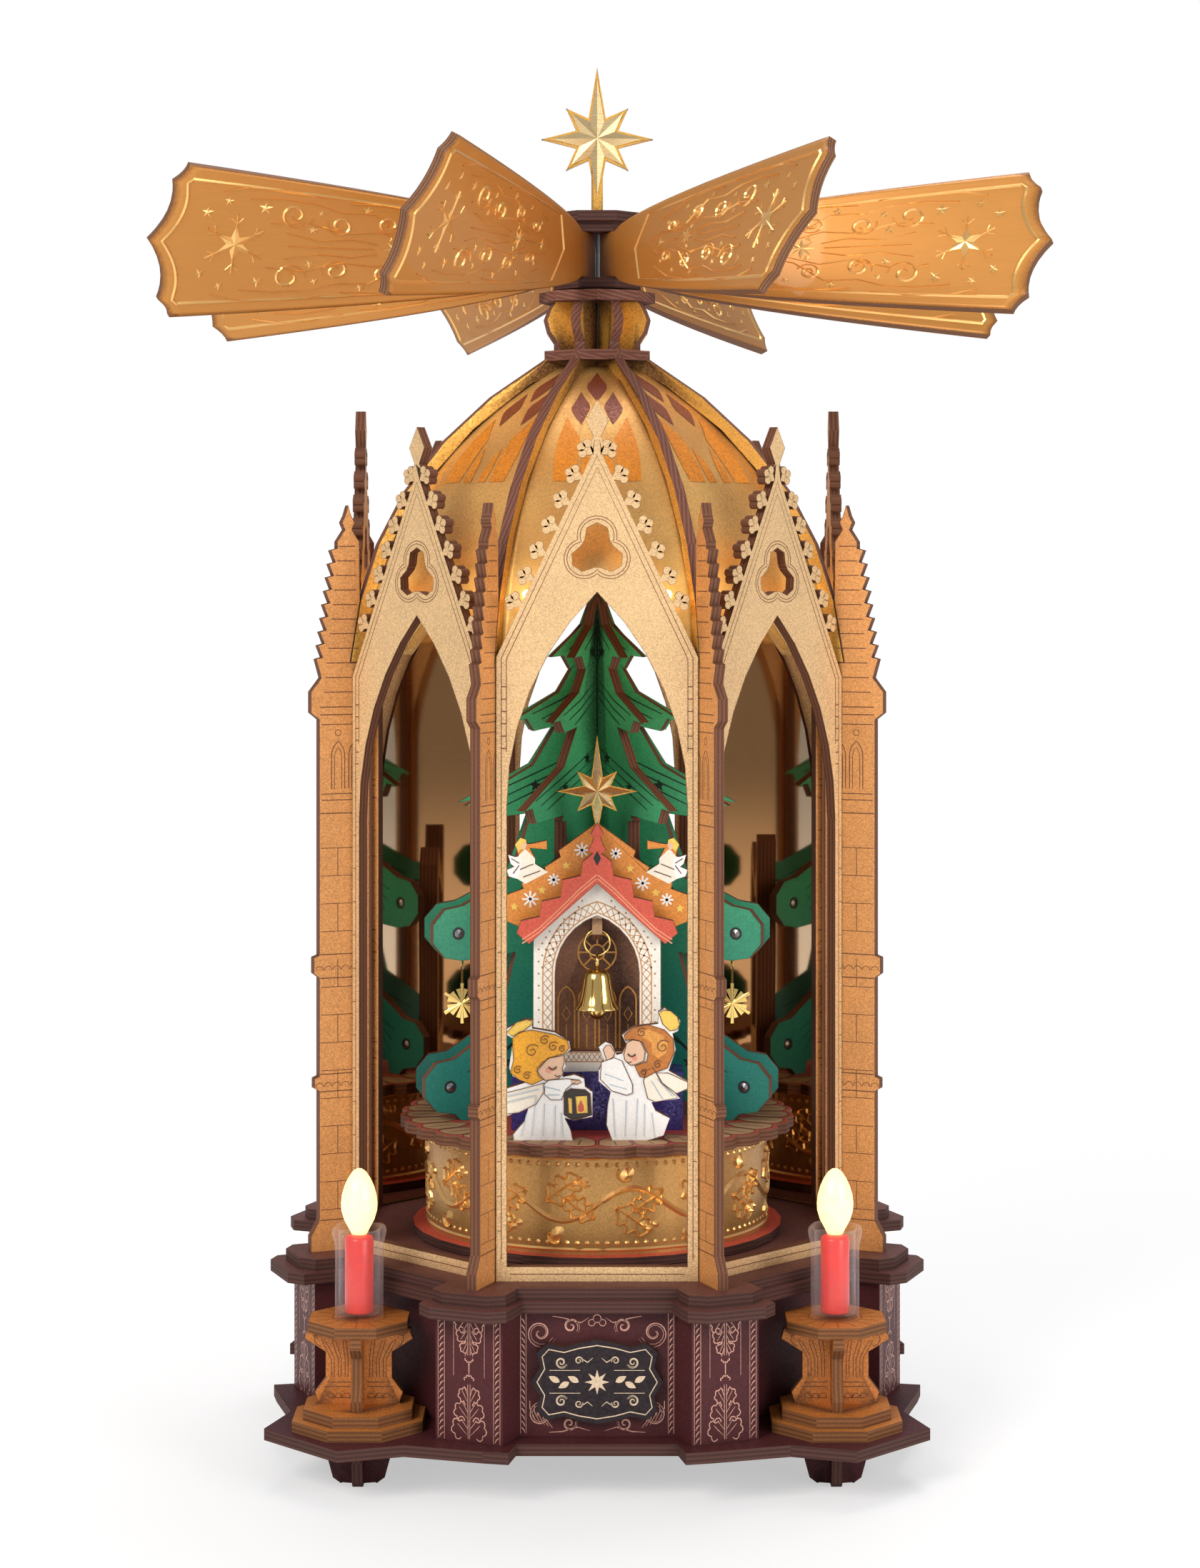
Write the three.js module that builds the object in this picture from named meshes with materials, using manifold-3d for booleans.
// A tabletop Christmas pyramid in sawn plywood: an eight-sided gothic lantern on a plinth with four
// candle stands, a carousel with a tree, a chapel and angels inside, and a rotor of eight curved
// blades above the dome, all on one shaft that a wind-up movement turns.
// Millimetres, +Z up. The front faces -Y, and azimuths are degrees from the front towards +X.
// The origin is where the axis meets the surface that the feet stand on.
import * as THREE from "three";
import { mergeVertices } from "three/addons/utils/BufferGeometryUtils.js";
import Module from "manifold-3d";

const wasm = await Module();
wasm.setup();

// Driving dimensions.
const ply = 3; // every sawn plate
const gap = 0.3; // running and seating clearance
const sides = 8;

const footHeight = 12.6;
const basePly = 3.2;
const candleReach = 66; // candle stand centre, along X and along Y
const standRadius = 18; // the widest step of a candle stand
const plinthHeight = 34.6;
const plinthApothem = 78;
const pillarWidth = 20;
const pillarReach = 91;
const cornicePly = 3.2;

const wallApothem = 72;
const windowHalf = 24.9;
const sillHeight = 4.1;
const springHeight = 131.2; // arch spring above the foot of the wall
const archRise = 58.9;
const trefoilAbove = 11.3; // trefoil centre above the arch's point
const gableAbove = 29.6; // where a gable's slopes would meet, above the trefoil
const gableRise = 61.7; // the same point above the shoulders
const minorDrop = 6.8; // the gables of the diagonal walls are this much lower
const finialHeight = 15.5;
const crocketCount = 7;
const crocketPitch = 7;
const crocketSize = 4.3;
const trefoilLobe = 3.6;
const trefoilReach = 4.2;

const buttressInner = 72;
const buttressOuter = 87;
const shaftBelow = 14.3; // top of a buttress's plain shaft below the shoulders
const spireLength = 59.7;
const spireTip = 10.5; // the finial on a spire
const hookCount = 9;

const eavesRadius = 77.5;
const eavesAbove = 0.2; // foot of the dome ribs above the shoulders
const domeHeight = 90;
const crownRadius = 14.7;
const ribDepth = 3.5;
const linerThickness = 0.8;
const linerCutOut = 8; // the window cuts in the liner start this far outside the walls
const linerCutDepth = 24;
const neckHeight = 16;
const neckBulge = 16.6;
const neckWaist = 13.3;
const neckPlateRadius = 17.3;

const shaftRadius = 1.5;
const hubRadius = 14;
const hubGap = 13.7; // height of the blade roots between the hubs
const bladeRoot = 4.8;
const bladeTip = 129;
const bladeThickness = 2.4;
const bladeTipChord = 46;
const bladeTipPitch = 27; // degrees from upright at the tip
const bladeCusp = 9; // how far the middle cusp stands out past the corners
const rotorTurn = 1.4; // degrees, as the rotor stands at rest

const starRadius = 21.6;
const starSide = 16.6;
const starDiagonal = 13.1;
const starStick = 22.5; // from the star's centre down to the hub

const turntableRadius = 55;
const drumRadius = 51;
const drumHeight = 28.5;
const stageRadius = 58.5;
const stagePly = 3.2;

const treeHeight = 154.8;
const treeReach = 50;
const boughEnd = 8.2; // radius of the round ends of the two lowest boughs
const harpReach = 44;

const charmReach = 40.3; // where the snowflakes hang, from the axis
const charmHole = 1.1;
const flakeRadius = 6;
const flakeThickness = 1.4;
const flakeDrop = 17.6; // centre of a snowflake below its hole

const chapelHalf = 18.4;
const chapelFront = 30; // distance of the front plate's face from the axis
const chapelDepth = 12.5;
const chapelPlinthHeight = 16.8;
const chapelPlinthHalf = 24.8;
const chapelEaves = 55;
const chapelApex = 71.4;
const chapelArchHalf = 12.2;
const chapelArchSill = 22.5;
const chapelArchSpring = 45;
const chapelArchRise = 16.8;
const bellRadius = 6.65;
const bellHeight = 11.4;
const ringRadius = 3.7;
const ringWire = 0.6;

const gearTeeth = 24;
const pinionTeeth = 9;
const toothModule = 1.5;
const gearWidth = 3;
const keyAside = 16; // key centre beyond the pinion's

// Heights above the foot of a wall that follow from them.
const trefoilHeight = springHeight + archRise + trefoilAbove;
const gableHeight = trefoilHeight + gableAbove;
const shoulderHeight = gableHeight - gableRise;
const eavesHeight = shoulderHeight + eavesAbove;
const buttressShoulder = shoulderHeight - shaftBelow;
const spireHeight = buttressShoulder + spireLength;

// Heights above the table that follow from them.
const baseTop = footHeight + basePly;
const plinthTop = baseTop + plinthHeight;
const lowerCorniceTop = plinthTop + cornicePly;
const wallFoot = lowerCorniceTop + cornicePly;
const turntableBottom = wallFoot + gap;
const turntableTop = turntableBottom + 2.4;
const drumTop = turntableTop + drumHeight;
const stageTop = drumTop + stagePly;
const neckFoot = wallFoot + eavesHeight + domeHeight;
const neckTop = neckFoot + neckHeight;
const hubFoot = neckTop + ply + 0.7;
const bladeFoot = hubFoot + ply;
const hubTop = bladeFoot + hubGap + 2 * ply;
const starCentre = hubTop + starStick;

const foil = { color: 0xd8a36a, roughness: 0.42, metalness: 0.55 };
const goldFoil = { color: 0xd9982f, roughness: 0.35, metalness: 0.7 };
const burgundy = { color: 0x5a2a2c, roughness: 0.6, metalness: 0 };
const brownPly = { color: 0x6b4130, roughness: 0.7, metalness: 0 };
const orangePly = { color: 0xc8742a, roughness: 0.55, metalness: 0.2 };
const redPly = { color: 0xd94a33, roughness: 0.6, metalness: 0 };
const greenPly = { color: 0x1e7a5c, roughness: 0.6, metalness: 0 };
const whitePly = { color: 0xf1ece2, roughness: 0.7, metalness: 0 };
const steel = { color: 0x3a3a3c, roughness: 0.4, metalness: 0.9 };
const brass = { color: 0xe0b040, roughness: 0.2, metalness: 1 };
const clearPlastic = { color: 0xe8523a, roughness: 0.15, metalness: 0 };
const mirrorFilm = { color: 0xbfc4c8, roughness: 0.05, metalness: 1 };

const step = 360 / sides;
const rad = THREE.MathUtils.degToRad;
const lerp = THREE.MathUtils.lerp;

// A closed geometry as a solid, its shared corners merged and its faces turned outwards.
function solid(geometry) {
  const bare = new THREE.BufferGeometry();
  bare.setAttribute("position", geometry.getAttribute("position"));
  bare.setIndex(geometry.index);
  const merged = mergeVertices(bare, 1e-4);
  const index = [];
  for (let i = 0; i < merged.index.count; i += 3) {
    const [a, b, c] = [0, 1, 2].map((k) => merged.index.getX(i + k));
    if (a !== b && b !== c && c !== a) index.push(a, b, c);
  }
  const vertProperties = merged.attributes.position.array;
  const make = (order) =>
    new wasm.Manifold(new wasm.Mesh({ numProp: 3, vertProperties, triVerts: new Uint32Array(order) }));
  const body = make(index);
  return body.volume() < 0 ? make(index.reverse()) : body;
}

function join(...parts) {
  return parts.map((p) => (p.isBufferGeometry ? solid(p) : p)).reduce((a, b) => a.add(b));
}

function cut(body, ...tools) {
  const first = body.isBufferGeometry ? solid(body) : body;
  return tools.reduce((a, b) => a.subtract(b.isBufferGeometry ? solid(b) : b), first);
}

function geometryOf(body) {
  const mesh = body.getMesh();
  const geometry = new THREE.BufferGeometry();
  geometry.setAttribute("position", new THREE.BufferAttribute(mesh.vertProperties, 3));
  geometry.setIndex(new THREE.BufferAttribute(mesh.triVerts, 1));
  const faceted = geometry.toNonIndexed();
  faceted.computeVertexNormals();
  return faceted;
}

function shapeOf(points, holes = []) {
  const shape = new THREE.Shape(points.map(([x, y]) => new THREE.Vector2(x, y)));
  for (const hole of holes) shape.holes.push(new THREE.Path(hole.map(([x, y]) => new THREE.Vector2(x, y))));
  return shape;
}

function extruded(points, depth, holes) {
  return new THREE.ExtrudeGeometry(shapeOf(points, holes), { depth, bevelEnabled: false });
}

// A level plate, drawn as seen from above.
function level(points, bottom, thickness, holes) {
  return extruded(points, thickness, holes).translate(0, 0, bottom);
}

// An upright plate across the radius, drawn as [across, height], its outer face `outer` from the axis.
function facing(points, outer, thickness, azimuth = 0, holes = []) {
  const plate = extruded(points, thickness, holes).rotateX(Math.PI / 2);
  return plate.translate(0, thickness - outer, 0).rotateZ(rad(azimuth));
}

// An upright plate along the radius, drawn as [radius, height], on the middle of its own plane.
function radial(points, thickness, azimuth, holes) {
  const plate = extruded(points, thickness, holes).rotateX(Math.PI / 2);
  return plate.translate(0, thickness / 2, 0).rotateZ(rad(azimuth - 90));
}

// A body of revolution from [radius, height] points; with eight segments it has the lantern's plan.
function turned(profile, segments = 16, phase = 0) {
  const points = profile.map(([r, z]) => new THREE.Vector2(r, z));
  return new THREE.LatheGeometry(points, segments, rad(phase)).rotateX(Math.PI / 2);
}

function ring(inner, outer, bottom, top, segments = 16, phase = 0) {
  const section = [[inner, bottom], [outer, bottom], [outer, top], [inner, top], [inner, bottom]];
  return turned(section, segments, phase);
}

function disc(radius, bottom, top, segments = 16, phase = 0) {
  return turned([[0, bottom], [radius, bottom], [radius, top], [0, top]], segments, phase);
}

function box(width, depth, height, x, y, bottom) {
  return new THREE.BoxGeometry(width, depth, height).translate(x, y, bottom + height / 2);
}

// Points of a circle, anticlockwise.
function circle(radius, count, x = 0, y = 0) {
  return Array.from({ length: count }, (_, i) => {
    const a = (i / count) * 2 * Math.PI;
    return [x + radius * Math.cos(a), y + radius * Math.sin(a)];
  });
}

// The outer line of equal lobes set round a centre, as in a trefoil.
function foiled(lobes, reach, radius, count, x, y) {
  return Array.from({ length: count }, (_, i) => {
    const a = (i / count) * 2 * Math.PI + Math.PI / 2;
    let far = 0.6 * reach;
    for (let k = 0; k < lobes; k++) {
      const turn = a - Math.PI / 2 - (k / lobes) * 2 * Math.PI;
      const beside = reach * Math.sin(turn);
      if (Math.abs(beside) < radius && Math.cos(turn) > 0)
        far = Math.max(far, reach * Math.cos(turn) + Math.sqrt(radius ** 2 - beside ** 2));
    }
    return [x + far * Math.cos(a), y + far * Math.sin(a)];
  });
}

const mirrored = (points) => points.map(([x, y]) => [-x, y]).reverse();
const moved = (points, x, y) => points.map(([px, py]) => [px + x, py + y]);
const scaled = (points, k) => points.map(([x, y]) => [x * k, y * k]);

// A pointed opening: two arcs, each centred on the spring line, over straight sides.
function pointedArch(half, sill, spring, rise, steps = 6) {
  const radius = (half ** 2 + rise ** 2) / (2 * half);
  const sweep = Math.asin(rise / radius);
  const right = Array.from({ length: steps + 1 }, (_, i) => {
    const a = (sweep * i) / steps;
    return [half - radius + radius * Math.cos(a), spring + radius * Math.sin(a)];
  });
  right[steps][0] = 0;
  return [[half, sill], ...right, ...mirrored(right).slice(1), [-half, sill]];
}

const lantern = new THREE.Group();
const carousel = new THREE.Group();
lantern.add(carousel);

function place(name, body, finish, parent = lantern) {
  const shape = body.isBufferGeometry ? solid(body) : body;
  const mesh = new THREE.Mesh(geometryOf(shape), new THREE.MeshStandardMaterial(finish));
  mesh.name = name;
  parent.add(mesh);
  return mesh;
}

// Base: a lobed plate on four crossed feet, with a stepped candle stand over each foot.

// One eighth of a plan line, reflected in the diagonal and turned round the four quarters.
function eightfold(eighth) {
  const quarter = [...eighth, ...eighth.map(([x, y]) => [y, x]).reverse()];
  const points = [];
  for (let turn = 0; turn < 4; turn++) {
    const c = Math.round(Math.cos((turn * Math.PI) / 2));
    const s = Math.round(Math.sin((turn * Math.PI) / 2));
    for (const [x, y] of quarter) points.push([x * c + y * s, y * c - x * s]);
  }
  return points.reverse();
}

const lobeEdge = pillarReach + 6;
const cornerTurn = rad(step / 2);
const pillarX = pillarReach * Math.sin(cornerTurn);
const cornerEdge = candleReach + 25.5;
const basePlan = eightfold([
  [pillarX - 12.8, plinthApothem + 7.5],
  [pillarX - 11, lobeEdge - 3],
  [pillarX - 4, lobeEdge - 4.5],
  [pillarX + 17.6, plinthApothem + 8.3],
  [cornerEdge - 21.5, cornerEdge + 0.5],
]);

const footProfile = [[5, 0], [7.2, 1.6], [8.8, 7.5], [11, footHeight]];
const columnProfile = [[11, 0], [12.2, 3.4], [9.2, 7.4], [9.2, 14.6], [15, 18.2], [14.2, 21]];
const standFoot = baseTop + 6;
const columnTop = standFoot + 21;
const candleFoot = columnTop + ply;

function crossed(profile, bottom, x, y) {
  const half = moved(profile, 0, bottom);
  const plate = [...half, ...mirrored(half)];
  return [0, 90].map((turn) => radial(plate, ply, turn).translate(x, y, 0));
}

const corners = [[-1, -1], [1, -1], [1, 1], [-1, 1]].map((c) => c.map((v) => v * candleReach));
const octagonFlat = (apothem) => apothem / Math.cos(Math.PI / sides);
const stands = corners.flatMap(([x, y]) => [
  ...crossed(footProfile, 0, x, y),
  disc(octagonFlat(standRadius), baseTop, baseTop + 3, sides, step / 2).translate(x, y, 0),
  disc(octagonFlat(15), baseTop + 3, standFoot, sides, step / 2).translate(x, y, 0),
  ...crossed(columnProfile, standFoot, x, y),
  disc(octagonFlat(13.7), columnTop, candleFoot, sides, step / 2).translate(x, y, 0),
]);

const gearRadius = (gearTeeth * toothModule) / 2;
const pinionRadius = (pinionTeeth * toothModule) / 2;
const pinionX = gearRadius + pinionRadius + 0.15;
const keyX = pinionX + keyAside;
const bearingTop = baseTop + 5;
const bearing = disc(shaftRadius + 2.5, baseTop, bearingTop);
const bearingBore = disc(shaftRadius + gap, baseTop + 0.6, bearingTop + 1);
const keyBore = disc(2.2 + gap, footHeight - 1, baseTop + 1, 12).translate(keyX, 0, 0);
place(
  "base_plate",
  cut(join(level(basePlan, footHeight, basePly), bearing, ...stands), bearingBore, keyBore),
  burgundy,
);

// Plinth: eight panels between eight pillars, set back behind the candle stands, and two cornices.
const azimuths = Array.from({ length: sides }, (_, i) => i * step);
const cornerAzimuths = azimuths.map((a) => a + step / 2);
const standPanel = candleReach * Math.SQRT2 - standRadius - gap;
const pillarDepth = pillarReach - standPanel + 5;
const panelLength = 2 * (plinthApothem * Math.tan(rad(step / 2)) - pillarWidth / 2 + 2);
const panels = azimuths.map((a, i) => {
  const outer = i % 2 ? standPanel : plinthApothem;
  return box(panelLength, ply, plinthHeight, 0, ply / 2 - outer, baseTop).rotateZ(rad(a));
});
const pillar = box(pillarWidth, pillarDepth, plinthHeight, 0, pillarDepth / 2 - pillarReach, baseTop);
const pillars = cornerAzimuths.map((a) => pillar.clone().rotateZ(rad(a)));
place("plinth_wall", join(...pillars, ...panels), burgundy);

// A cornice: an octagon with a chamfered lobe over each pillar.
function cornicePlan(apothem, reach, half) {
  const lobe = [[-half, reach - 9], [-half, reach - 3.4], [-half + 4.5, reach]];
  const outline = [...lobe, ...mirrored(lobe)];
  return azimuths.flatMap((a) => {
    const middle = rad(a + step / 2);
    const flat = apothem * Math.tan(rad(step / 2)) - half * 1.04;
    const turn = (points, angle) =>
      points.map(([x, y]) => [
        x * Math.cos(angle) + y * Math.sin(angle),
        -y * Math.cos(angle) + x * Math.sin(angle),
      ]);
    const [first, last] = [[[flat, apothem]], [[-flat, apothem]]];
    return [...turn(first, rad(a)), ...turn(outline, middle), ...turn(last, rad(a + step))];
  });
}

const lowerPlan = cornicePlan(plinthApothem + 4, pillarReach + 7.6, pillarWidth / 2 + 3);
const upperPlan = cornicePlan(plinthApothem + 2.4, pillarReach + 3.6, pillarWidth / 2 + 1);
const bushing = circle(shaftRadius + gap, 8);
place("lower_cornice", level(lowerPlan, plinthTop, cornicePly, [bushing]), brownPly);
place("upper_cornice", level(upperPlan, lowerCorniceTop, cornicePly, [bushing]), brownPly);

const plaqueHalf = [[0, 11.5], [5, 10.6], [9, 9.4], [13.5, 10.4], [16.5, 8], [15.6, 4], [18, 0]];
const plaqueRight = [...plaqueHalf, ...plaqueHalf.slice(0, -1).map(([x, y]) => [x, -y]).reverse()];
const plaqueLine = moved([...plaqueRight, ...mirrored(plaqueRight).slice(1, -1)], 0, baseTop + 15.7);
place("plaque", facing(plaqueLine, plinthApothem + ply, ply), orangePly);

// Candles: a clear tube round a red core, with a flame-shaped lamp on top.
const tubeRadius = 6.75;
const tubeHeight = 25.6;
const coreRadius = 4;
const flameHeight = 15.6; // top of the lamp above the tube
const candleProfile = [
  [0, 0], [tubeRadius, 0], [tubeRadius, tubeHeight - 5], [tubeRadius + 0.85, tubeHeight - 2],
  [tubeRadius + 0.2, tubeHeight], [tubeRadius - 0.9, tubeHeight - 1], [tubeRadius - 0.9, 1.2],
  [coreRadius, 1.2], [coreRadius, tubeHeight - 3.2], [2.4, tubeHeight - 2.4],
  [5.1, tubeHeight + 0.27 * flameHeight],
  [4.2, tubeHeight + 0.61 * flameHeight], [0, tubeHeight + flameHeight],
];
corners.forEach(([x, y], i) => {
  place(`candle_${i + 1}`, turned(moved(candleProfile, 0, candleFoot), 8).translate(x, y, 0), clearPlastic);
});

// Walls: eight gothic gables with crockets, a trefoil and a pointed window.
const buttressHalf = ply / 2 + gap;
const crocket = scaled([[-0.14, 0], [-0.48, 0.5], [0, 1], [0.48, 0.5], [0.14, 0]], crocketSize);

function gableOutline(drop) {
  const half = (wallApothem * Math.tan(rad(step / 2)) * 0.98);
  const shoulder = shoulderHeight - drop;
  const top = gableHeight - drop;
  const slope = new THREE.Vector2(-half, top - shoulder).normalize();
  const onSlope = (height) => half * (1 - (height - shoulder) / (top - shoulder));
  const right = [[half, 0], [half, shoulder]];
  for (let i = 0; i < crocketCount; i++) {
    const height = top - 44.4 + i * crocketPitch;
    for (const [along, out] of crocket)
      right.push([
        onSlope(height) + along * slope.x + out * slope.y,
        height + along * slope.y - out * slope.x,
      ]);
  }
  const finial = [[1.1, 0], [2.2, 0.2], [1, 0.33], [3.2, 0.62], [0, 1]];
  for (const [across, share] of finial) right.push([across, top - 3.2 + share * finialHeight]);
  return [...right, ...mirrored(right).slice(1)];
}

function wall(drop) {
  const window = pointedArch(windowHalf, sillHeight, springHeight - drop, archRise);
  const trefoil = foiled(3, trefoilReach, trefoilLobe, 15, 0, trefoilHeight - drop);
  const plate = facing(gableOutline(drop), wallApothem, ply, 0, [window, trefoil]);
  const slots = [-1, 1].map((side) =>
    box(2 * buttressHalf, wallApothem / 2, 2 * gableHeight, 0, -wallApothem, -ply)
      .rotateZ(rad((side * step) / 2)),
  );
  return cut(plate, ...slots);
}

const compass = ["front", "front_right", "right", "back_right", "back", "back_left", "left", "front_left"];
const walls = [wall(0), wall(minorDrop)];
compass.forEach((name, i) => {
  const mesh = place(`wall_${name}`, walls[i % 2], foil);
  mesh.rotation.z = rad(azimuths[i]);
  mesh.position.z = wallFoot;
});

// Mirrors behind the windows of the two rear diagonal walls.
const mirrorLine = pointedArch(windowHalf + 1.2, 1, springHeight - minorDrop, archRise + 1.5, 6);
const mirrorPlate = facing(mirrorLine, wallApothem - ply - gap, 1.2);
[["mirror_left", -3 * step], ["mirror_right", 3 * step]].forEach(([name, azimuth]) => {
  const mesh = place(name, mirrorPlate, mirrorFilm);
  mesh.rotation.z = rad(azimuth);
  mesh.position.z = wallFoot;
});

// Dome: a curve from the eaves to the crown, shared by the ribs, the buttresses and the liner.
const eaves = new THREE.Vector2(eavesRadius, wallFoot + eavesHeight);
const crown = new THREE.Vector2(crownRadius, neckFoot);
const domeCurve = new THREE.CubicBezierCurve(
  eaves,
  new THREE.Vector2(eavesRadius - 0.04 * domeHeight, eaves.y + 0.4 * domeHeight),
  new THREE.Vector2(crownRadius + 0.67 * (eavesRadius - crownRadius), crown.y - 0.27 * domeHeight),
  crown,
);

// Points of the dome curve moved inwards, square to it, from one share of its length to another.
function domeLine(inwards, count, from = 0, to = 1) {
  return Array.from({ length: count }, (_, i) => {
    const t = lerp(from, to, i / (count - 1));
    const at = domeCurve.getPoint(t);
    const tangent = domeCurve.getTangent(t);
    return [at.x - inwards * tangent.y, at.y + inwards * tangent.x];
  });
}

const neckLine = [
  [neckWaist, 1], [neckWaist, 0.24 * neckHeight], [lerp(neckWaist, neckBulge, 0.7), 0.44 * neckHeight],
  [neckBulge, 0.66 * neckHeight], [lerp(neckWaist, neckBulge, 0.6), 0.86 * neckHeight],
  [neckWaist + 0.6, neckHeight],
].map(([r, z]) => [r, neckFoot + z]);
const ribCore = shaftRadius + 3.5;
const ribRows = 7;
const linerRows = 6;
const linerTop = 0.93; // share of the dome curve that the liner covers
const ribInner = domeLine(ribDepth, linerRows, 0, linerTop);
ribInner[0][1] = eaves.y;
const ribLine = [
  ...domeLine(0, ribRows),
  ...neckLine,
  [ribCore, neckTop],
  [ribCore, neckFoot - ribDepth],
  ...ribInner.reverse(),
];
const collar = ring(ribCore + 1, neckPlateRadius - 0.4, neckFoot - 1.6, neckFoot + 1.4, sides, step / 2);
const neckPlate = ring(octagonFlat(shaftRadius + gap), neckPlateRadius, neckTop, neckTop + ply, sides, 0);
place(
  "dome_frame",
  join(...cornerAzimuths.map((a) => radial(ribLine, ply, a)), collar, neckPlate),
  goldFoil,
);

const linerOut = ribDepth + gap;
const linerOuter = domeLine(linerOut, linerRows, 0, linerTop);
const linerInner = domeLine(linerOut + linerThickness, linerRows, 0, linerTop).reverse();
linerOuter[0][1] = eaves.y;
linerInner[linerInner.length - 1][1] = eaves.y;
const linerShell = solid(turned([...linerOuter, ...linerInner, linerOuter[0]], sides, step / 2));
const archCuts = azimuths.map((a, i) => {
  const line = pointedArch(windowHalf + 2, sillHeight, springHeight - (i % 2) * minorDrop, archRise + 2, 4);
  return facing(moved(line, 0, wallFoot), wallApothem + linerCutOut, linerCutDepth, a);
});
place("dome_liner", cut(linerShell, ...archCuts), goldFoil);

// Buttresses: radial plates with string courses, a hooked spire and a step that carries a rib.
const spireFoot = spireHeight - spireTip;
const ribSeat = domeLine(-gap, 2, 0, 1 / (ribRows - 1)).map(([r, z]) => [r, z - wallFoot]);
const hookPitch = (spireFoot - buttressShoulder - 14) / hookCount;
const hooks = Array.from({ length: hookCount }, (_, i) => {
  const z = spireFoot - 2 - i * hookPitch;
  const r = lerp(buttressOuter - 5.4, buttressOuter - 1, i / (hookCount - 1));
  return [[r, z], [r + 1.9, z - 0.5]];
}).flat();
const buttressLine = [
  [buttressInner, 0],
  [buttressInner, eavesHeight - gap],
  [eavesRadius + gap, eavesHeight - gap],
  ...ribSeat,
  [buttressInner + 3, spireFoot],
  [buttressInner + 5.3, spireHeight - 7],
  [buttressInner + 4.4, spireHeight - 5],
  [buttressInner + 5.4, spireHeight - 3],
  [buttressInner + 6.3, spireHeight],
  [buttressInner + 7.2, spireHeight - 3],
  [buttressInner + 8.2, spireHeight - 5],
  [buttressInner + 7.3, spireHeight - 7],
  [buttressInner + 9.6, spireFoot],
  ...hooks,
  [buttressOuter - 0.6, buttressShoulder + 10],
  [buttressOuter + 2.5, buttressShoulder + 6],
  [buttressOuter + 2.5, buttressShoulder],
  [buttressOuter, buttressShoulder - 2],
  [buttressOuter, 85.2],
  [buttressOuter + 1.6, 84.6],
  [buttressOuter + 1.6, 80],
  [buttressOuter, 78.8],
  [buttressOuter, 50.4],
  [buttressOuter + 1.4, 49.8],
  [buttressOuter + 1.4, 47],
  [buttressOuter, 46.2],
  [buttressOuter, 9],
  [buttressOuter + 2.5, 4.5],
  [buttressOuter + 2.5, 0],
];
cornerAzimuths.forEach((a, i) => {
  const mesh = place(`buttress_${i + 1}`, radial(buttressLine, ply, 0), foil);
  mesh.rotation.z = rad(a);
  mesh.position.z = wallFoot;
});

// Drive: a shaft with a gear low in the plinth, the movement's pinion, its housing and its key.
function gearLine(teeth) {
  const pitch = (teeth * toothModule) / 2;
  const root = pitch - 1.15 * toothModule;
  const tip = pitch + 0.8 * toothModule;
  const angle = (2 * Math.PI) / teeth;
  return Array.from({ length: teeth }, (_, i) =>
    [[root, -0.27], [tip, -0.1], [tip, 0.1], [root, 0.27]].map(([r, share]) => {
      const a = (i + share) * angle;
      return [r * Math.cos(a), r * Math.sin(a)];
    }),
  ).flat();
}

const gearFoot = plinthTop - gearWidth - 4;
const shaftFoot = baseTop + 0.6 + gap;
const shaft = disc(shaftRadius, shaftFoot, hubTop, 12);
const gearHub = disc(shaftRadius + 2.5, gearFoot - 2, gearFoot + gearWidth, 12);
place(
  "drive_shaft",
  join(shaft, gearHub, level(gearLine(gearTeeth), gearFoot, gearWidth)),
  steel,
  carousel,
);

const pinionLine = gearLine(pinionTeeth);
const pinionArbor = disc(1.2, gearFoot - 3, gearFoot + gearWidth + 1.5, 10);
const meshTurn = 180 - 180 / pinionTeeth; // a gap of the pinion faces a tooth of the gear
place(
  "drive_pinion",
  join(level(pinionLine, gearFoot, gearWidth).rotateZ(rad(meshTurn)), pinionArbor).translate(pinionX, 0, 0),
  brass,
);

const housingTop = gearFoot - 2.6;
const housing = box(46, 40, housingTop - baseTop - 1, keyX - 6, 0, baseTop + 1);
const housingFeet = [-1, 1].map((s) => box(46, 6, 2, keyX - 6, s * 17, baseTop));
const arborHole = disc(1.2 + gap, housingTop - 4, housingTop + 1, 10).translate(pinionX, 0, 0);
const barrel = disc(12, housingTop - 0.5, housingTop + 1.2, 14).translate(keyX + 2, 0, 0);
const springHole = disc(2.2 + gap, baseTop - 1, baseTop + 4, 12).translate(keyX, 0, 0);
place("music_movement", cut(join(housing, ...housingFeet, barrel), arborHole, springHole), steel);

const keyStem = disc(2.2, 5.5, baseTop + 2.5, 12);
const keyWing = [[2, 6], [6, 7.6], [10.5, 7], [11.5, 4.5], [9.5, 1.6], [5, 1.4], [2, 3]];
const keyPlate = radial([...keyWing, ...mirrored(keyWing)], 2, 0);
place("winding_key", join(keyStem, keyPlate).translate(keyX, 0, 0), brass);

const cellRadius = 7.5;
const cells = [-1, 0, 1].map((i) =>
  disc(cellRadius, -26, 26, 12).rotateY(Math.PI / 2).rotateZ(Math.PI / 2)
    .translate(-38 + i * (2 * cellRadius + 0.6), 0, baseTop + cellRadius + 1.2),
);
place("battery_box", join(box(50, 58, 12, -38, 0, baseTop), ...cells), whitePly);

// Carousel: a red turntable, an embossed drum and a scalloped stage with what stands on it.
const shaftBore = circle(shaftRadius + gap, 8);
const turntableDisc = circle(turntableRadius, 32);
place("turntable", level(turntableDisc, turntableBottom, turntableTop - turntableBottom, [shaftBore]),
  redPly, carousel);
place("drum", ring(drumRadius - ply, drumRadius, turntableTop, drumTop, 24), goldFoil, carousel);

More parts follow.
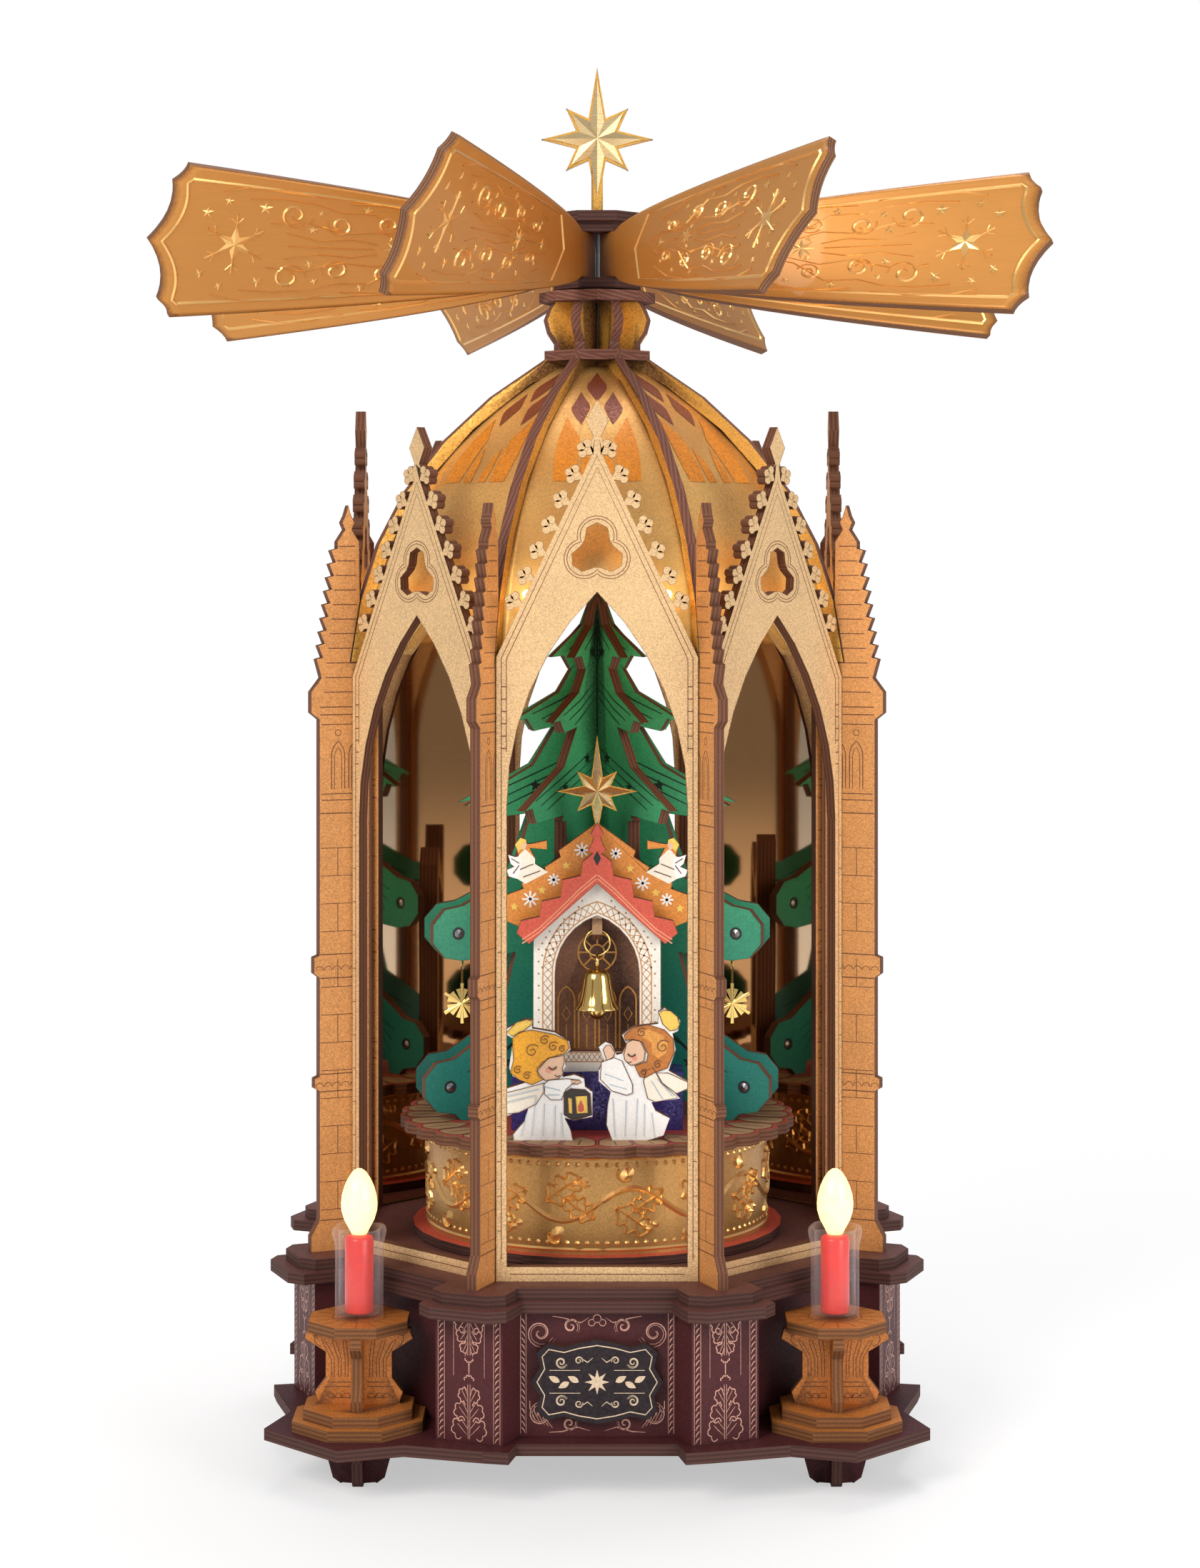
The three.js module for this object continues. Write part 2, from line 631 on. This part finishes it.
const scallops = 32;
const stageLine = Array.from({ length: scallops * 3 }, (_, i) => {
  const a = (i / (scallops * 3)) * 2 * Math.PI;
  const r = stageRadius - (i % 3 === 0 ? 2 : 0);
  return [r * Math.cos(a), r * Math.sin(a)];
});
place("stage_plate", level(stageLine, drumTop, stagePly, [shaftBore]), redPly, carousel);

// One upper tier of a wing: a drooping bough with pointed lobes, from its top downwards.
function tier(inner, outer, top, bottom) {
  const drop = top - bottom;
  return [
    [inner, top],
    [lerp(inner, outer, 0.25), top - 0.45 * drop],
    [outer - 0.6, bottom + 0.1 * drop],
    [outer - 4.4, bottom + 0.12 * drop],
    [outer - 6.6, bottom - 1.4],
  ];
}

// One of the two lowest boughs, which end in a round lobe.
function roundBough(inner, reach, top, bottom) {
  const [x, z] = [reach - boughEnd, bottom + boughEnd];
  const end = [100, 60, 20, -20, -60, -100].map((a) => [
    x + boughEnd * Math.cos(rad(a)),
    z + boughEnd * Math.sin(rad(a)),
  ]);
  return [[inner, top], [lerp(inner, x, 0.28), lerp(top, end[0][1], 0.7)], ...end];
}

const heightShare = (share) => stageTop + share * treeHeight;
const boughTop = heightShare(0.58);
const boughMiddle = heightShare(0.315);
const wing = [
  [0, stageTop + treeHeight + 1],
  ...tier(1.5, 0.31 * treeReach, heightShare(1), heightShare(0.863)),
  ...tier(0.155 * treeReach, 0.54 * treeReach, heightShare(0.863), heightShare(0.745)),
  ...tier(0.27 * treeReach, 0.84 * treeReach, heightShare(0.745), boughTop),
  ...roundBough(0.42 * treeReach, 1.04 * treeReach, boughTop, heightShare(0.302)),
  ...roundBough(0.52 * treeReach, 1.09 * treeReach, boughMiddle, heightShare(0.012)),
  [0.86 * treeReach, stageTop],
  [0.78 * treeReach, stageTop],
  [0.76 * treeReach, stageTop + 4],
  [0.32 * treeReach, stageTop + 6],
  [0.3 * treeReach, stageTop],
  [0, stageTop],
];
const wingTurns = [32, 70, 90, 140].flatMap((a) => [a, -a]);
const roomHalf = chapelPlinthHalf + 9.2; // the room that is cut from the wings for chapel and angels
const chapelRoom = box(
  2 * roomHalf, 60, chapelApex + 17.6, 0, -(chapelFront - chapelDepth - gap) - 30, stageTop - 1,
);
const holeHeight = boughMiddle + charmHole;
const charmHoles = [-1, 1].map((side) =>
  disc(charmHole, -ply, ply, 8).rotateX(Math.PI / 2).translate(side * charmReach, 0, holeHeight),
);
place(
  "tree",
  cut(
    join(...wingTurns.map((a) => radial(wing, ply, a))),
    chapelRoom,
    disc(shaftRadius + gap, stageTop - 1, stageTop + treeHeight + 2, 8),
    ...charmHoles,
  ),
  greenPly,
  carousel,
);

// Chapel: a white front with a pointed arch on a plinth, a printed back and a tab for the bell.
const arch = pointedArch(chapelArchHalf, chapelArchSill, chapelArchSpring, chapelArchRise, 6);
const houseLine = [
  [chapelHalf, 0], [chapelHalf, chapelEaves], [0, chapelApex], [-chapelHalf, chapelEaves], [-chapelHalf, 0],
];
const frontPlate = facing(houseLine, chapelFront, ply, 0, [arch]);
const backPlate = facing(houseLine, chapelFront - chapelDepth + ply, ply);
const chapelPlinth = box(
  2 * chapelPlinthHalf, chapelDepth + 1.5, chapelPlinthHeight, 0, chapelDepth / 2 - chapelFront - 0.75, 0,
);
const ringHeight = chapelArchSpring + 8.8;
const tabTop = ringHeight + 8;
const tabLine = [
  [chapelFront - chapelDepth, tabTop], [chapelFront - 1, tabTop], [chapelFront, ringHeight + 2.4],
  [chapelFront - 3, ringHeight + 0.7], [chapelFront - 5, ringHeight + 3.6],
  [chapelFront - chapelDepth, tabTop - 6],
];
const bellY = ply / 2 - chapelFront;
const wireHole = disc(ringWire / 2 + 0.5, -3, 3, 8).rotateY(Math.PI / 2)
  .translate(0, bellY, ringHeight + ringRadius);
place(
  "chapel",
  cut(join(frontPlate, backPlate, chapelPlinth, radial(tabLine, ply, 0)), wireHole).translate(0, 0, stageTop),
  whitePly,
  carousel,
);

// Roof: a scalloped bargeboard with a finial in front of a snow-flaked gable with two trumpeters.
const barge = [[1.2, 2.6], [2.6, 3.4], [1.6, 5.4], [1, 7.4], [1.9, 8.2], [0, 17.4 - 6]];
const bargeSteps = [
  [23.2, -14.4], [22, -10.8], [16.6, -9.6], [16, -5.2], [10.6, -4], [10, 1], [4.8, 2.2], [4.2, 6.2],
];
const bargeRight = [
  [0, chapelApex + 0.01],
  [chapelHalf + 1.2, chapelEaves - 1.1],
  ...bargeSteps.map(([x, z]) => [x, chapelApex + z]),
  ...barge.map(([x, z]) => [x, chapelApex + 6 + z]),
];
const bargeLine = [...bargeRight, ...mirrored(bargeRight).slice(1, -1)];
const gableRight = [
  [0, chapelApex - 2],
  ...[[15, -16.4], [27, -11.4], [27.4, -4.4], [21.4, -2.2], [21.9, -0.6], [14.6, 2.6], [15.2, 4]]
    .map(([x, z]) => [x, chapelApex + z]),
  ...[[10.6, 7], [11.2, 8.8], [0, 17]].map(([x, z]) => [x, chapelApex + z]),
];
const gableLine = [...gableRight, ...mirrored(gableRight).slice(1, -1)];
const trumpeter = [
  [13.8, 4.6], [20.4, 1.2], [22.6, 2.6], [25.2, 3.4], [25.8, 5.2], [23.6, 6.2], [24.6, 7], [25.4, 9.6],
  [23.4, 9], [22.4, 9.4], [23.4, 12.6], [21.8, 14.6], [20.2, 14], [19.8, 12.6], [14.2, 13.8], [14.2, 11.2],
  [19.2, 11.6], [17.6, 8.6], [17.6, 7],
];
const trumpeterLine = moved(trumpeter, 0.4, chapelApex - 2);
const roofFace = chapelFront + ply;
const gableFace = chapelFront - ply - gap;
place(
  "chapel_roof",
  join(
    facing(bargeLine, roofFace, ply),
    facing(gableLine, gableFace, ply),
    facing(trumpeterLine, gableFace, ply),
    facing(mirrored(trumpeterLine), gableFace, ply),
    box(3.4, roofFace - gableFace + ply, 4.4, 0, -(roofFace + gableFace - ply) / 2, chapelApex + 3),
  ).translate(0, 0, stageTop),
  redPly,
  carousel,
);

// Bell on a wire ring through the tab, and its clapper.
const bellTop = ringHeight - ringRadius - 4.1;
const bellFoot = bellTop - bellHeight;
const bellWall = 0.7;
const bellOutside = [
  [3.1, bellTop], [3.8, bellTop - 1], [4.6, bellTop - 6], [5.4, bellTop - 9], [bellRadius, bellFoot],
];
const bellInside = bellOutside.map(([r, z]) => [r - bellWall, z - 0.01]).reverse();
bellInside[0][1] = bellFoot;
const bellShell = turned(
  [
    [0, bellTop], ...bellOutside, ...bellInside.slice(0, -1), [2.4, bellTop - 1], [0, bellTop - 1],
  ].reverse(), 10,
);
const eyeHalf = [[1.2, -0.2], [1.6, 2.4], [1.6, 4.6], [0.9, 5.6]];
const eyeLine = moved([...eyeHalf, ...mirrored(eyeHalf)], 0, bellTop);
const eyeHole = disc(ringWire / 2 + 0.45, -3, 3, 8).rotateY(Math.PI / 2).translate(0, 0, bellTop + 3.95);
const ringShape = new THREE.TorusGeometry(ringRadius, ringWire / 2, 4, 14).rotateX(Math.PI / 2);
place(
  "bell",
  cut(join(bellShell, radial(eyeLine, 1.4, 0)), eyeHole).translate(0, bellY, stageTop),
  brass,
  carousel,
);
place("bell_ring", ringShape.translate(0, bellY, stageTop + ringHeight), brass, carousel);

const clapperBall = 2.7;
const clapperStem = [
  [0, bellFoot - 3.2], [1.9, bellFoot - 2.4], [clapperBall, bellFoot - 0.5], [1.9, bellFoot + 1.4],
  [0.5, bellFoot + 2.2], [0.5, bellTop - 1 - gap], [0, bellTop - 1 - gap],
];
place("clapper", turned(clapperStem, 10).translate(0, bellY, stageTop), brass, carousel);

// Star on the chapel's finial, and the eight-pointed star on the upper hub.
function starLine(points, innerShare = 0.36) {
  return points.flatMap(([reach, azimuth], i) => {
    const next = points[(i + 1) % points.length];
    const between = rad(azimuth + 360 / points.length / 2);
    const inner = innerShare * Math.min(reach, next[0]);
    return [
      [reach * Math.sin(rad(azimuth)), reach * Math.cos(rad(azimuth))],
      [inner * Math.sin(between), inner * Math.cos(between)],
    ];
  });
}

// A raised star with a ridge on every ray: a low cone over the star's line.
function facetedStar(line, rise) {
  const positions = [];
  line.forEach(([x, z], i) => {
    const [nx, nz] = line[(i + 1) % line.length];
    positions.push(0, -rise, 0, x, 0, z, nx, 0, nz, 0, 0, 0, nx, 0, nz, x, 0, z);
  });
  return new THREE.BufferGeometry().setAttribute("position", new THREE.Float32BufferAttribute(positions, 3));
}

const rays = azimuths.map((a, i) => [
  i === 0 ? starRadius : i === 4 ? starRadius * 0.95 : i % 2 ? starDiagonal : starSide, a,
]);
const topStarLine = starLine(rays);
const stick = box(3.4, ply, starStick - gap, 0, 0, -starStick + gap);
const starPlate = facing(topStarLine, ply / 2, ply);
const overlay = facetedStar(scaled(topStarLine, 0.9), 1.6).translate(0, 0.05 - ply / 2, 0);
place("top_star", join(starPlate, stick, overlay).translate(0, 0, starCentre), goldFoil, carousel);

const smallRays = azimuths.map((a, i) => [i === 0 ? 16.5 : i === 4 ? 13 : i % 2 ? 8.3 : 11.8, a]);
const chapelStarLine = starLine(smallRays, 0.4);
place(
  "chapel_star",
  join(facing(chapelStarLine, 1, 2), facetedStar(scaled(chapelStarLine, 0.97), 1.8).translate(0, -0.95, 0))
    .translate(0, -(gableFace + gap + 1), stageTop + chapelApex + 26.2),
  goldFoil,
  carousel,
);

// Angels: each a flat figure in front of the chapel, drawn in profile.
const angelLeft = [
  [-6.9, 0], [-7.5, 2.9], [-9.2, 6.4], [-6.7, 5.7], [-1.3, 6.7], [-1.3, 13.8], [-3.4, 15.3], [-3.7, 17.6],
  [-6.4, 18.7], [-9.7, 18], [-9.7, 19.8], [-8.8, 21], [-9.4, 24.3], [-7.5, 25.8], [-7.9, 28.1], [-12, 30.7],
  [-18.4, 31.8], [-18.2, 34.1], [-20.2, 34.4], [-25.5, 31.8], [-25.7, 30], [-23.8, 28.8], [-25, 20.6],
  [-24, 18.3], [-20.4, 16.4], [-27.5, 14.2], [-30.4, 10.6], [-28.4, 7.2], [-25.9, 6.7], [-19.4, 9.6],
  [-20.6, 5.5], [-23.8, 1.8], [-23.6, 0],
];
const angelRight = [
  [14.3, 0], [18.8, 1.4], [20.6, 6.3], [16.5, 8.5], [15.4, 10.8], [23.5, 11.9], [22.1, 13.4], [28.4, 15.2],
  [20.3, 19.8], [22.3, 25.8], [21.4, 30.3], [22.9, 31], [23.6, 34], [19.1, 37.6], [17.3, 36.3], [17.3, 33.1],
  [10.1, 32.2], [7, 29.9], [8.3, 27.3], [7.1, 24.7], [5.6, 24.3], [4.1, 27.3], [2.3, 28], [0.4, 26.5],
  [1.9, 22.8], [0.4, 19.8], [0.4, 16.8], [3.8, 13.8], [3, 10], [2.65, 4.4], [4.3, 0],
];
const angelFace = chapelFront + 17.5;
place("angel_left", facing(moved(angelLeft, 0, stageTop), angelFace, ply), whitePly, carousel);
place("angel_right", facing(moved(angelRight, 0, stageTop), angelFace, ply), whitePly, carousel);

// Harp behind the tree.
const harpOuter = [
  [14, 0], [20, 6], [18, 30], [21, 52], [17, 66], [10, 71], [2, 66], [-6, 60], [-13, 64], [-19, 76],
  [-23, 74], [-21, 60], [-22, 40], [-18, 14], [-16, 0],
];
const harpInner = [
  [-12, 12], [-16, 38], [-15, 56], [-8, 54], [4, 60], [12, 62], [15, 52], [12, 30], [13, 10],
];
place(
  "harp",
  facing(moved(harpOuter, 0, stageTop), harpReach, 2 * ply, 180, [moved(harpInner, 0, stageTop)]),
  brownPly,
  carousel,
);

// A snowflake on a wire ring hangs from the side wings of the tree, clear of the bough below it.
const flakeHalf = [[0.42, 0.09], [0.68, 0.3], [0.74, 0.09], [1, 0.08]];
const flakeArm = [...flakeHalf.map(([along, across]) => [along, -across]), ...[...flakeHalf].reverse()];
const flakeLine = Array.from({ length: 6 }, (_, i) => {
  const a = (i * Math.PI) / 3;
  const arm = flakeArm.map(([along, across]) => [
    flakeRadius * (along * Math.cos(a) - across * Math.sin(a)),
    flakeRadius * (along * Math.sin(a) + across * Math.cos(a)),
  ]);
  const middle = 0.2 * flakeRadius;
  return [...arm, [middle * Math.cos(a + Math.PI / 6), middle * Math.sin(a + Math.PI / 6)]];
}).flat();
const flakeStem = flakeDrop - 2 * ringRadius; // from the flake's centre up to the ring's foot
const charmRing = new THREE.TorusGeometry(ringRadius, ringWire / 2, 4, 14).rotateY(Math.PI / 2);
[["charm_left", -1], ["charm_right", 1]].forEach(([name, side]) => {
  const mesh = place(
    name,
    join(
      facing(flakeLine, flakeThickness / 2, flakeThickness).rotateY(Math.PI / 6),
      box(1, flakeThickness, flakeStem - 1, 0, 0, 1),
      charmRing.clone().translate(0, 0, flakeDrop - ringRadius),
    ),
    brass,
    carousel,
  );
  mesh.position.set(side * charmReach, 0, holeHeight - flakeDrop);
});

// Rotor: two hubs hold eight twisted blades whose tips are cut in concave scallops.
const hubBore = octagonFlat(shaftRadius + gap);
const lowerHub = ring(hubBore, hubRadius, hubFoot, bladeFoot, sides, step / 2);
place("rotor_hub_lower", lowerHub, brownPly, carousel);
const upperHubFoot = bladeFoot + hubGap;
const upperHub = join(
  ring(hubBore, hubRadius - 1.2, upperHubFoot, upperHubFoot + ply, sides, step / 2),
  ring(hubBore, hubRadius + 1, upperHubFoot + ply, hubTop, sides, step / 2),
);
place("rotor_hub_upper", upperHub, brownPly, carousel);

// How far the tip reaches at a share of the chord: three cusps with hollow curves between them.
function tipReach(share) {
  const cusps = [[0, 0], [0.12, 0.44], [0.5, 1], [0.88, 0.44], [1, 0]];
  const i = Math.max(0, cusps.findIndex(([s]) => s >= share - 1e-9) - 1);
  const [[s0, r0], [s1, r1]] = [cusps[i], cusps[i + 1]];
  const t = (share - s0) / (s1 - s0);
  const hollow = 0.36 * (s1 - s0) * 4 * t * (1 - t);
  return bladeTip + bladeCusp * (lerp(r0, r1, t) - hollow * 2);
}

function blade() {
  const stations = [0, 0, 0.3, 1];
  const along = stations.length - 1;
  const shares = [0, 0.06, 0.12, 0.31, 0.5, 0.69, 0.88, 0.94, 1];
  const middle = bladeFoot + hubGap / 2;
  const rootHalf = hubGap / 2 - gap / 2;
  const rootEnd = hubRadius + 1.5;
  const tipUp = (bladeTipChord / 2) * Math.cos(rad(bladeTipPitch));
  const tipAside = (bladeTipChord / 2) * Math.sin(rad(bladeTipPitch));
  const point = (i, share, face) => {
    const reach = i === 0 ? bladeRoot : lerp(rootEnd, tipReach(share), stations[i]);
    const clear = Math.max(0, (reach - rootEnd) / (bladeTip - rootEnd));
    const up = rootHalf + (tipUp - rootHalf) * Math.min(1.02, clear ** 0.55);
    const aside = tipAside * Math.min(1.05, clear);
    const pitch = Math.atan2(aside, up);
    const across = 2 * share - 1;
    const out = (face * bladeThickness) / 2;
    return [
      across * aside + out * Math.cos(pitch),
      -reach,
      middle + across * up - out * Math.sin(pitch),
    ];
  };
  const rows = [];
  for (let i = 0; i <= along; i++)
    rows.push([...shares.map((s) => point(i, s, 1)), ...shares.map((s) => point(i, s, -1)).reverse()]);
  const round = rows[0].length;
  const positions = rows.flat(2);
  const index = [];
  for (let i = 0; i < along; i++)
    for (let k = 0; k < round; k++) {
      const [a, b] = [i * round + k, i * round + ((k + 1) % round)];
      index.push(a, b, a + round, b, b + round, a + round);
    }
  for (let k = 0; k < shares.length - 1; k++) {
    const [a, b, c, d] = [k, k + 1, round - 2 - k, round - 1 - k];
    const end = along * round;
    index.push(a, c, b, a, d, c, end + a, end + b, end + c, end + a, end + c, end + d);
  }
  const geometry = new THREE.BufferGeometry();
  geometry.setAttribute("position", new THREE.Float32BufferAttribute(positions, 3));
  geometry.setIndex(index);
  return geometry;
}

const bladeBody = solid(blade());
cornerAzimuths.forEach((a, i) => {
  const mesh = place(`blade_${i + 1}`, bladeBody, goldFoil, carousel);
  mesh.rotation.z = rad(a + rotorTurn);
});

export default lantern;
